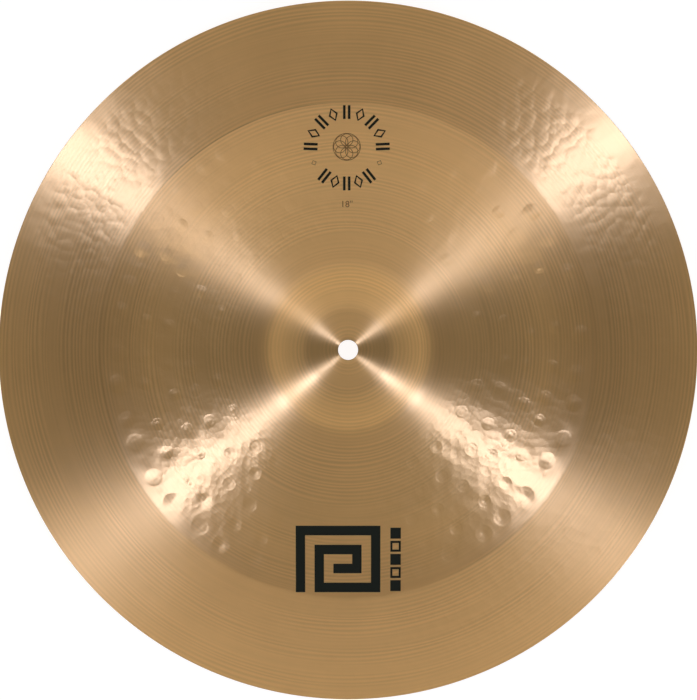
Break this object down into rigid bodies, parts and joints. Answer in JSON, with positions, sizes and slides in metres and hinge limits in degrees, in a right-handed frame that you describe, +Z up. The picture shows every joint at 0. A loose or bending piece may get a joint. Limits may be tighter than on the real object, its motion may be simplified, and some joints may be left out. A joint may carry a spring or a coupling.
{
  "type": "china cymbal",
  "caption": "Thin bronze china cymbal with a raised bell, a hammered bow, an upturned flange and a centre hole for a stand.",
  "frame": {"origin": "centre of the disc in plan, on the surface that the crease rests on", "axes": "+Z up out of the bell, +Y towards the top of the picture, +X to its right"},
  "size_m": [0.4572, 0.4572, 0.0348],
  "materials": {
    "bronze": "hammered and turned on a lathe, satin"
  },
  "bodies": {
    "root": {"cymbal": "bronze"}
  },
  "joints": []
}
